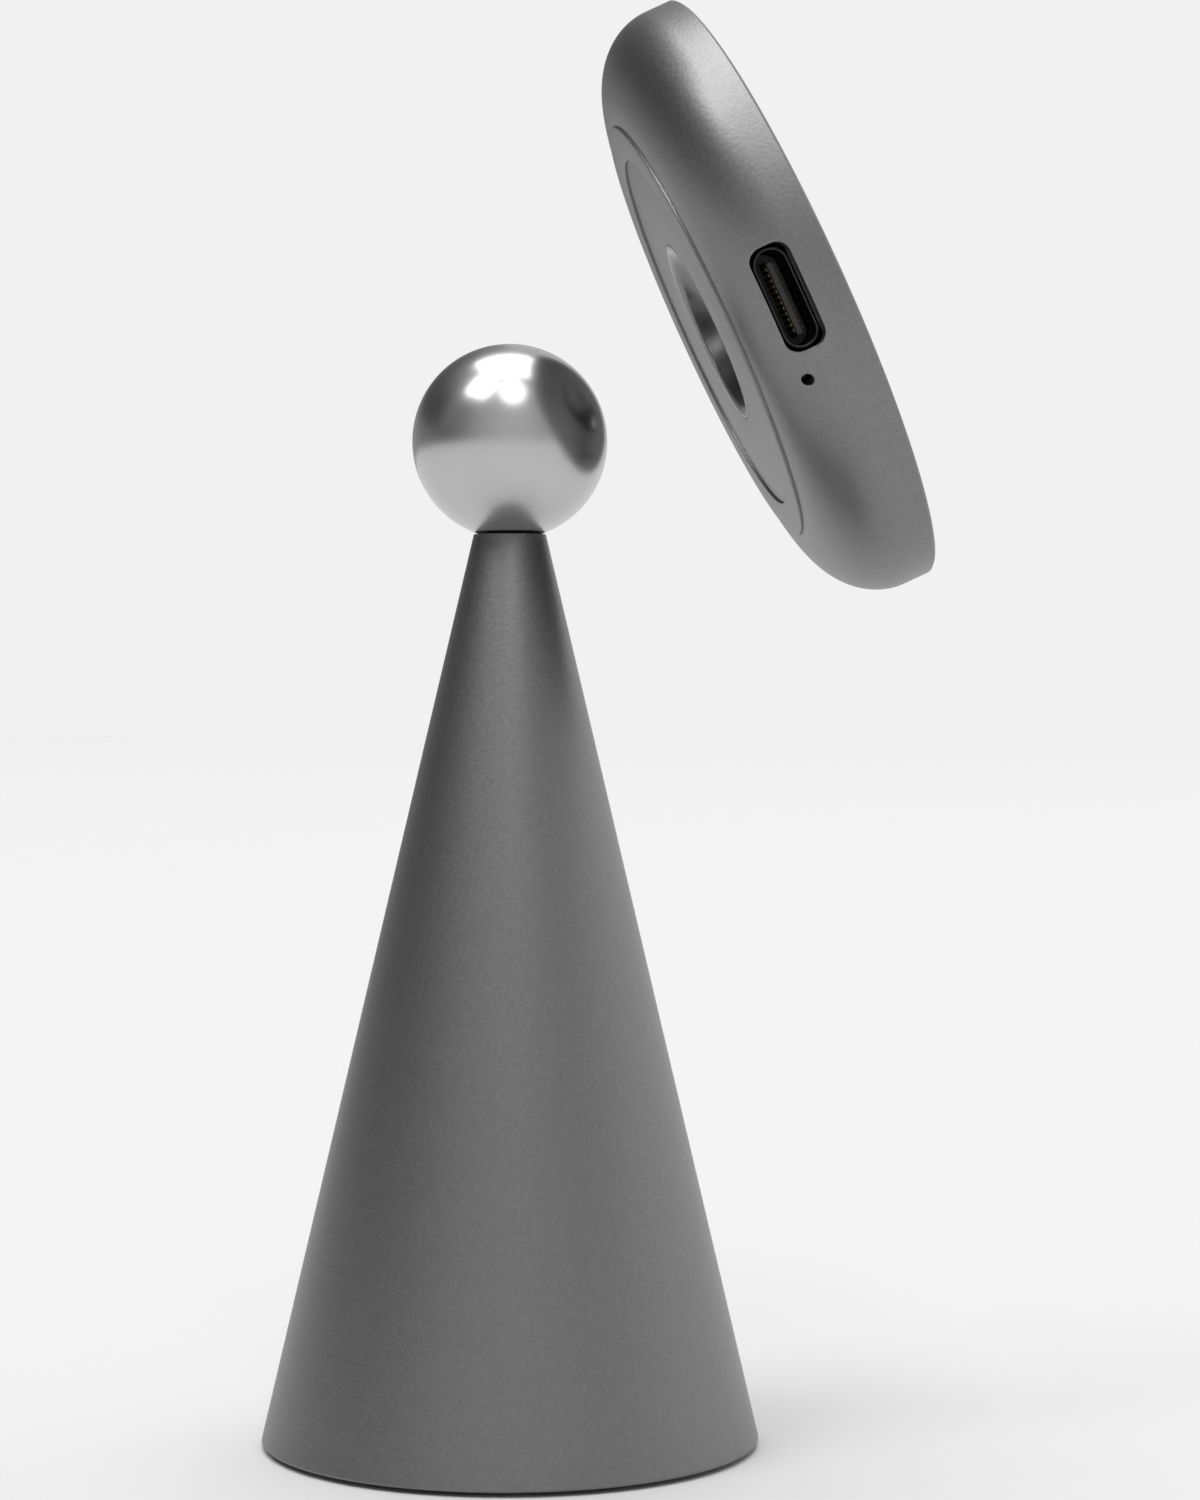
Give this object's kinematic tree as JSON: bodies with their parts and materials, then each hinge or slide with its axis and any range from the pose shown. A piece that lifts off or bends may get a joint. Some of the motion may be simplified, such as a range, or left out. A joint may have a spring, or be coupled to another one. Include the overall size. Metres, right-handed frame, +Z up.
{
  "type": "magnetic phone charging stand",
  "caption": "Cone-shaped desk stand with a polished steel ball on its tip and a round wireless-charging disc that a magnetic seat holds on the ball.",
  "frame": {"origin": "centre of the foot pad's underside, on the cone's axis", "axes": "+Z up the cone's axis; the disc stands off the ball towards +X with its axis in the XZ plane; its USB-C socket faces -Y at rest"},
  "size_m": [0.0601, 0.056, 0.1292],
  "materials": {
    "blasted_aluminium": "bead-blasted and grey anodised, satin",
    "polished_steel": "polished",
    "machined_aluminium": "turned smooth and grey anodised",
    "turned_steel": "turned",
    "zinc_plated_steel": "bright zinc plate",
    "soft_iron": "plated sheet",
    "nickel_plate": "nickel plated",
    "cast_iron": "as cast, oiled",
    "foot_silicone": "matt",
    "pad_silicone": "soft-touch matt",
    "polycarbonate": "moulded",
    "enamelled_copper": "enamelled copper wire",
    "ferrite": "sintered, dull",
    "circuit_laminate": "green solder mask",
    "black_resin": "moulded resin",
    "capacitor_ceramic": "fired ceramic",
    "black_nickel_plate": "drawn sheet, black nickel plated",
    "gold_plate": "gold plated",
    "lamp_resin": "clear resin over phosphor",
    "smoked_acrylic": "smoked, clear"
  },
  "bodies": {
    "stand": {"cone_shell": "blasted_aluminium", "ballast": "cast_iron", "base_plate": "zinc_plated_steel", "base_screws": "zinc_plated_steel", "foot_pad": "foot_silicone"},
    "shank": {"ball_shank": "turned_steel", "lock_washer": "zinc_plated_steel", "lock_nut": "zinc_plated_steel"},
    "ball": {"steel_ball": "polished_steel"},
    "seat": {"seat_dish": "machined_aluminium", "seat_magnet": "nickel_plate", "seat_yoke": "soft_iron"},
    "disc": {"housing": "blasted_aluminium", "back_ring": "blasted_aluminium", "front_cover": "polycarbonate", "front_pad": "pad_silicone", "alignment_magnets": "nickel_plate", "magnet_yoke": "soft_iron", "charging_coil": "enamelled_copper", "coil_leads": "enamelled_copper", "ferrite_sheet": "ferrite", "coil_tray": "polycarbonate", "circuit_board": "circuit_laminate", "board_screws": "zinc_plated_steel", "driver_chip": "black_resin", "tuning_capacitors": "capacitor_ceramic", "usb_shell": "black_nickel_plate", "usb_tongue": "black_resin", "usb_contacts": "gold_plate", "status_led": "lamp_resin", "light_pipe": "smoked_acrylic"}
  },
  "joints": [
    {"name": "swivel", "type": "hinge", "parent": "stand", "child": "shank", "pos_m": [0, 0, 0.0901], "axis": [0, 0, 1], "continuous": true},
    {"name": "tilt", "type": "hinge", "parent": "shank", "child": "ball", "pos_m": [0, 0, 0.0901], "axis": [0, -1, 0], "range_deg": [-17, 65]},
    {"name": "pull_off", "type": "slide", "parent": "ball", "child": "seat", "axis": [0.8626, 0, 0.5059], "range_m": [-0.01597, 0.03]},
    {"name": "spin", "type": "hinge", "parent": "seat", "child": "disc", "pos_m": [0.01767, 0, 0.1], "axis": [0.9063, 0, 0.4226], "continuous": true}
  ]
}
